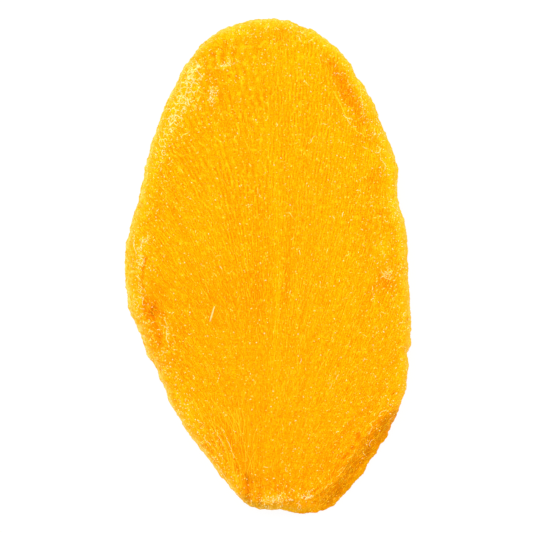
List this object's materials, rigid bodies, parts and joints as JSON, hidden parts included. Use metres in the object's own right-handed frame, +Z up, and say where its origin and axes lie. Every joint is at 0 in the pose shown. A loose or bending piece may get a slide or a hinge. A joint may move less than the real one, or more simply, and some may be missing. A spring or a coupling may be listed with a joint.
{
  "type": "freeze-dried mango slice",
  "caption": "Long oval slice of freeze-dried mango, flat underneath, with a raised uneven rim, a sloping peeled side and a blunt stem end.",
  "frame": {"origin": "on the surface that the slice lies on, under the middle of its length and width", "axes": "+Y runs along the slice from the stem end to the blossom end, +X to the right seen from above, +Z up out of the shown face"},
  "size_m": [0.0635, 0.1098, 0.0078],
  "materials": {
    "flesh": "dry porous fruit flesh, matt"
  },
  "bodies": {
    "root": {"mango_slice": "flesh"}
  },
  "joints": []
}
